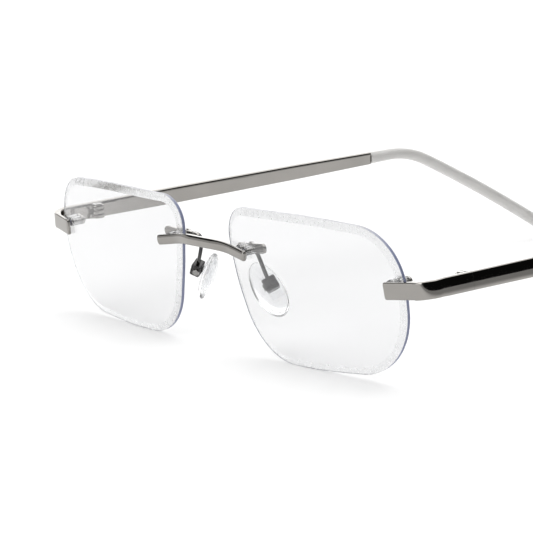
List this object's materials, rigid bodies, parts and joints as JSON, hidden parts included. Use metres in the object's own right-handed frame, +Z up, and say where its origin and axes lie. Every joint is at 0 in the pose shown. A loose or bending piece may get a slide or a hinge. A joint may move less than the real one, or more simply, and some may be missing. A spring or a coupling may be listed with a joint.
{
  "type": "rimless eyeglasses",
  "caption": "Rimless eyeglasses with drilled clear lenses, a metal bridge, rocking nose pads and folding temples with sleeved tips.",
  "frame": {"origin": "on the surface it stands on, midway between the temples and midway between the bridge and the tip ends", "axes": "+X to the wearer's left, +Y back along the open temples, +Z up"},
  "size_m": [0.1332, 0.1507, 0.031],
  "materials": {
    "lens": "clear polished, ground edge",
    "polished_metal": "polished grey plating",
    "fastener_steel": "turned and plated",
    "bush_plastic": "clear moulded",
    "pad_silicone": "clear soft silicone",
    "tip_acetate": "satin grey"
  },
  "bodies": {
    "front": {"lens_left": "lens", "lens_right": "lens", "bridge": "polished_metal", "endpiece_left": "polished_metal", "endpiece_right": "polished_metal", "bridge_rear_plate_left": "polished_metal", "bridge_rear_plate_right": "polished_metal", "lens_studs": "fastener_steel", "lens_bushes": "bush_plastic", "lens_nuts": "fastener_steel", "pad_arm_left": "polished_metal", "pad_arm_right": "polished_metal", "pad_box_left": "polished_metal", "pad_box_right": "polished_metal", "pad_screw_left": "fastener_steel", "pad_screw_right": "fastener_steel", "hinge_front_left": "polished_metal", "hinge_front_right": "polished_metal", "hinge_screw_left": "fastener_steel", "hinge_screw_right": "fastener_steel"},
    "temple_left": {"hinge_rear_left": "polished_metal", "temple_bar_left": "polished_metal", "temple_tip_left": "tip_acetate"},
    "pad_left": {"nose_pad_left": "pad_silicone", "pad_insert_left": "polished_metal"},
    "temple_right": {"hinge_rear_right": "polished_metal", "temple_bar_right": "polished_metal", "temple_tip_right": "tip_acetate"},
    "pad_right": {"nose_pad_right": "pad_silicone", "pad_insert_right": "polished_metal"}
  },
  "joints": [
    {"name": "temple_left_fold", "type": "hinge", "parent": "front", "child": "temple_left", "pos_m": [0.06285, -0.05852, 0.0203], "axis": [0, -0.0558, 0.9984], "range_deg": [0, 92]},
    {"name": "temple_right_fold", "type": "hinge", "parent": "front", "child": "temple_right", "pos_m": [-0.06285, -0.05852, 0.0203], "axis": [0, 0.0558, -0.9984], "range_deg": [0, 88]},
    {"name": "pad_left_rock", "type": "hinge", "parent": "front", "child": "pad_left", "pos_m": [0.01302, -0.06615, 0.01415], "axis": [0.4045, 0.794, 0.4537], "range_deg": [-10, 10]},
    {"name": "pad_right_rock", "type": "hinge", "parent": "front", "child": "pad_right", "pos_m": [-0.01302, -0.06615, 0.01415], "axis": [-0.4045, 0.794, 0.4537], "range_deg": [-10, 10]}
  ]
}
